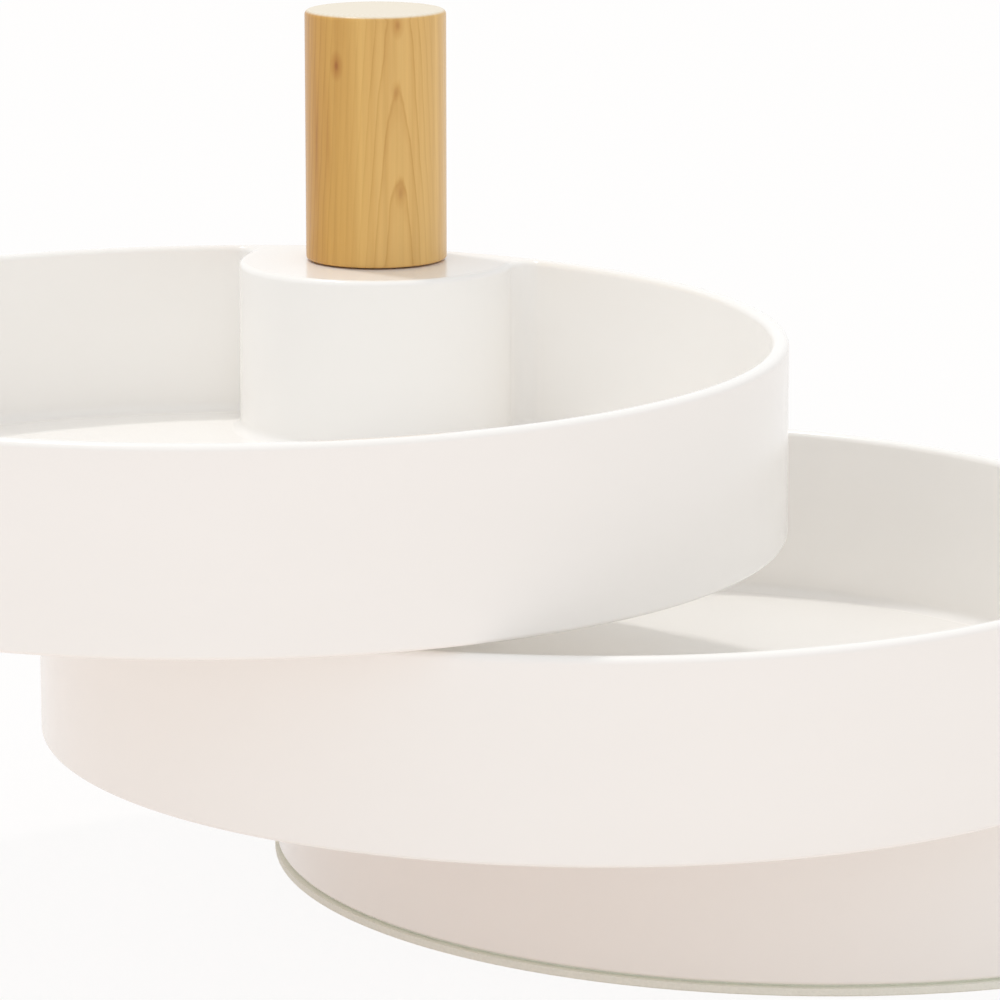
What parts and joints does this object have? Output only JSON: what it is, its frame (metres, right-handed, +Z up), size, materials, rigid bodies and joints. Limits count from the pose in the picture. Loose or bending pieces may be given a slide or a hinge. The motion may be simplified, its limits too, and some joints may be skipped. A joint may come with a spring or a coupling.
{
  "type": "tiered catchall tray",
  "caption": "Stack of round open trays that swing sideways about one upright pivot at their edge, with a short wooden grip on top and a non-slip sheet below.",
  "frame": {"origin": "on the pivot axis at table level, on the underside of the non-slip sheet", "axes": "+Z up along the pivot axis; the trays fan out towards -Y, and the picture looks along +Y"},
  "size_m": [0.3069, 0.2547, 0.1561],
  "materials": {
    "tray_plastic": "satin moulded, warm white",
    "grip_wood": "fine sanded, clear satin",
    "pad_rubber": "matte, milky, slightly yellow-green",
    "steel": "zinc plated",
    "bearing_plastic": "natural, smooth",
    "brass": "turned"
  },
  "bodies": {
    "base": {"lower_tray": "tray_plastic", "base_pad": "pad_rubber", "pivot_bolt": "steel", "bolt_washer": "steel", "lock_washer": "steel", "spacer_tube": "steel", "lower_thrust_washer": "bearing_plastic", "handle_washer": "bearing_plastic", "handle": "grip_wood", "handle_insert": "brass"},
    "middle_tier": {"middle_tray": "tray_plastic", "middle_bushing": "bearing_plastic", "upper_thrust_washer": "bearing_plastic"},
    "upper_tier": {"upper_tray": "tray_plastic", "upper_bushing": "bearing_plastic"}
  },
  "joints": [
    {"name": "middle_swivel", "type": "hinge", "parent": "base", "child": "middle_tier", "pos_m": [0, 0, 0.054], "axis": [0, 0, 1], "continuous": true},
    {"name": "upper_swivel", "type": "hinge", "parent": "base", "child": "upper_tier", "pos_m": [0, 0, 0.0904], "axis": [0, 0, 1], "continuous": true}
  ]
}
